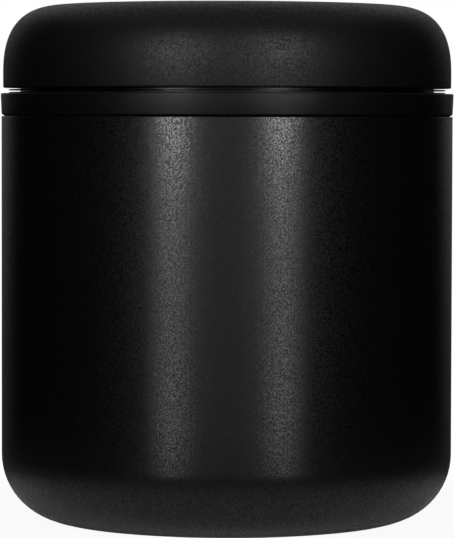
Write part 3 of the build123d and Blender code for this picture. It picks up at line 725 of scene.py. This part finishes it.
dress("indicator_pin", dyed_abs())
dress("indicator_seal", grey_silicone)
coil(
    "indicator_coil",
    "indicator_spring",
    indicator_wire,
    indicator_turns,
)

# The filter
# A slotted cover in polypropylene, twisted into three hooks under the pump, keeps grounds out of the valves.
# A disc of fine stainless wire cloth with a pressed rim lies on its floor.
cloth_pitch = 1.4 * mm  # drawn as coarse as it needs to show: real cloth has 30 wires to the centimetre
cloth_rim = 1.2 * mm
cloth_sides = 4
cloth_points = 2  # of a wire for each wire that it crosses
cloth_rim_sides = 96

dress("filter_cover", black_polypropylene)
cloth_low, cloth_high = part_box("filter_mesh")
cloth_wire = (cloth_high.z - cloth_low.z) / 4  # the radius, because two wires cross in the thickness
cloth_middle = (cloth_low.z + cloth_high.z) / 2
cloth_reach = cloth_high.x - cloth_rim / 2
cloth_shape = bmesh.new()
spin(cloth_shape, rounded([
    (cloth_high.x - cloth_rim, cloth_low.z, cloth_wire),
    (cloth_high.x, cloth_low.z, cloth_wire),
    (cloth_high.x, cloth_high.z, cloth_wire),
    (cloth_high.x - cloth_rim, cloth_high.z, cloth_wire),
], steps=3), segments=cloth_rim_sides)
for direction in (0, 1):
    for row in range(-int(cloth_reach / cloth_pitch), int(cloth_reach / cloth_pitch) + 1):
        half = (cloth_reach ** 2 - (row * cloth_pitch) ** 2) ** 0.5
        steps = int(half / cloth_pitch * cloth_points)
        path = []
        for step in range(-steps, steps + 1):
            side = 1 if (row + direction) % 2 else -1
            lift = side * cloth_wire * cos(pi * step / cloth_points)
            place = [step * cloth_pitch / cloth_points, row * cloth_pitch]
            path.append(Vector((place[direction], place[1 - direction], cloth_middle + lift)))
        if len(path) > 1:
            add_wire(cloth_shape, path, cloth_wire, cloth_sides)
bmesh.ops.recalc_face_normals(cloth_shape, faces=cloth_shape.faces)
wire_cloth = piece("wire_cloth", cloth_shape, [steel])
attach(wire_cloth, "filter")
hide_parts("filter_mesh")

# The floor
# Not part of the object: a pale sheet under it that keeps a soft shadow near the foot and fades to white,
# with painted shade in its colour further out.
floor_radius = 0.17
floor_fade_start = 0.07  # from here out to the next radius the sheet turns into plain white
floor_fade_end = 0.15
floor_near_share = 0.94  # of plain white in the sheet near the foot
floor_gloss_share = 0.04  # of plain white in the sheet as the object mirrors it
floor_painted_shade_start = 0.055  # from here out to the next radius the sheet's colour darkens, painted shade that throws less light up at the can
floor_painted_shade_end = 0.11
floor_colour = "#d6d6d5"
# painted shade: the sheet's dark colour away from the foot, standing in for floor that light hardly reaches
floor_painted_shade_colour = "#2c2c2c"
floor_sides = 96
floor_gap = 0.02 * mm

shape = bmesh.new()
bmesh.ops.create_circle(shape, cap_ends=True, segments=floor_sides, radius=floor_radius)
floor_material, tree = new_material("pale_sheet")
tree.nodes.clear()
place = add(tree, "ShaderNodeTexCoord").outputs["Object"]
reach = add(tree, "ShaderNodeVectorMath", {0: place}, operation="LENGTH").outputs["Value"]
fade = ranged(tree, reach, (floor_near_share, 1.0), (floor_fade_start, floor_fade_end), "SMOOTHSTEP")
# painted shade on the sheet, from pale at the foot to dark further out
painted_shade = ranged(tree, reach, (0.0, 1.0), (floor_painted_shade_start, floor_painted_shade_end), "SMOOTHSTEP")
rays = add(tree, "ShaderNodeLightPath").outputs
glossy_share = maths(tree, "MULTIPLY", rays["Is Glossy Ray"], floor_gloss_share)
white_share = maths(tree, "MULTIPLY_ADD", fade, rays["Is Camera Ray"], glossy_share)
sheet = blend(tree, floor_colour, floor_painted_shade_colour, painted_shade)
paper = add(tree, "ShaderNodeBsdfDiffuse", {"Color": sheet}).outputs["BSDF"]
glow = add(tree, "ShaderNodeEmission").outputs["Emission"]
mix = add(tree, "ShaderNodeMixShader", {0: white_share, 1: paper, 2: glow}).outputs["Shader"]
add(tree, "ShaderNodeOutputMaterial", {"Surface": mix})
floor = piece("floor", shape, [floor_material])
floor.location.z = -floor_gap

# The light
# Two tall strips and two small lamps stand in front, one of each on each side, with a soft panel behind the
# camera and one overhead. The room is dark, and pale behind the object, which draws its bright edges.
strip_angle = 27.0  # degrees from the camera's side, as the lamps' angle is
strip_distance = 1.0  # this and the sizes below are in metres, and the powers in watts
strip_width = 0.2
strip_height = 1.3
strip_middle = 0.25
strip_power = 1.6
lamp_angle = 25.2
lamp_distance = 0.55
lamp_width = 0.1
lamp_height = 0.3
lamp_middle = 0.29
lamp_power = 1.25
panel_width = 1.3
panel_height = 1.1
panel_distance = 1.7
panel_middle = 0.15
panel_power = 1.1
top_width = 1.7
top_length = 2.1
top_height = 1.1
top_middle = 0.65
top_power = 4.0
back_start = 0.72  # the share of a direction that points backwards, where the pale part begins
back_end = 0.9
back_low = -0.1  # the share that points upwards, where the pale part is still dim
back_high = 0.2
back_dim_level = 0.035
back_level = 0.42
room_level = 0.004


def area_light(name, place, target, width, height, power):
    """A rectangular soft light at a place, turned to a target, that isn't itself in the picture."""
    light = bpy.data.lights.new(name, "AREA")
    light.shape = "RECTANGLE"
    light.size = width
    light.size_y = height
    light.energy = power
    held = bpy.data.objects.new(name, light)
    bpy.context.scene.collection.objects.link(held)
    held.visible_camera = False
    held.location = place
    held.rotation_euler = (Vector(target) - Vector(place)).to_track_quat("-Z", "Y").to_euler()


for name, angle, distance, middle, width, height, power in (
    ("strip", radians(strip_angle), strip_distance, strip_middle, strip_width, strip_height, strip_power),
    ("lamp", radians(lamp_angle), lamp_distance, lamp_middle, lamp_width, lamp_height, lamp_power),
):
    for side, hand in ((-1, "left"), (1, "right")):
        place = (side * distance * sin(angle), -distance * cos(angle), middle)
        area_light(f"{name}_{hand}", place, (0, 0, middle), width, height, power)
place = (0, -panel_distance, panel_middle)
area_light("panel", place, (0, 0, panel_middle), panel_width, panel_height, panel_power)
area_light("overhead", (0, top_middle, top_height), (0, top_middle, 0), top_width, top_length, top_power)

world = bpy.data.worlds.new("studio")
world.use_nodes = True
bpy.context.scene.world = world
tree = world.node_tree
tree.nodes.clear()
rays = add(tree, "ShaderNodeLightPath").outputs
direction = add(tree, "ShaderNodeTexCoord").outputs["Generated"]
facing = add(tree, "ShaderNodeSeparateXYZ", {"Vector": direction}).outputs
raised = ranged(tree, facing["Z"], (back_dim_level, back_level), (back_low, back_high), "SMOOTHSTEP")
behind = ranged(tree, facing["Y"], (room_level, raised), (back_start, back_end), "SMOOTHSTEP")
seen = maths(tree, "MAXIMUM", rays["Is Camera Ray"], rays["Is Transmission Ray"])
level = maths(tree, "MAXIMUM", seen, behind)
background = add(tree, "ShaderNodeBackground", {"Color": (1, 1, 1, 1), "Strength": level})
add(tree, "ShaderNodeOutputWorld", {"Surface": background.outputs["Background"]})

# The camera
# It stands nearly a metre away at the height of the can's rim and looks slightly down, as the photograph
# was taken: the object fills the frame.
camera_distance = 0.9
camera_side = 0.06 * mm
camera_height = 0.1056
aim_height = 0.06494
camera_roll = 0.13  # degrees
photo_height = 538  # pixels
pixels_per_mm = 3.8605
sensor = 36.0

camera_data = bpy.data.cameras.new("camera")
camera = bpy.data.objects.new("camera", camera_data)
bpy.context.scene.collection.objects.link(camera)
camera.location = (camera_side, -camera_distance, camera_height)
aim = Vector((camera_side, 0, aim_height))
camera.rotation_euler = (aim - camera.location).to_track_quat("-Z", "Y").to_euler()
camera.rotation_euler.rotate_axis("Z", radians(camera_roll))
camera_data.sensor_width = sensor
camera_data.lens = pixels_per_mm * camera_distance / mm / photo_height * sensor
bpy.context.scene.camera = camera

bpy.context.scene.view_settings.view_transform = "Standard"
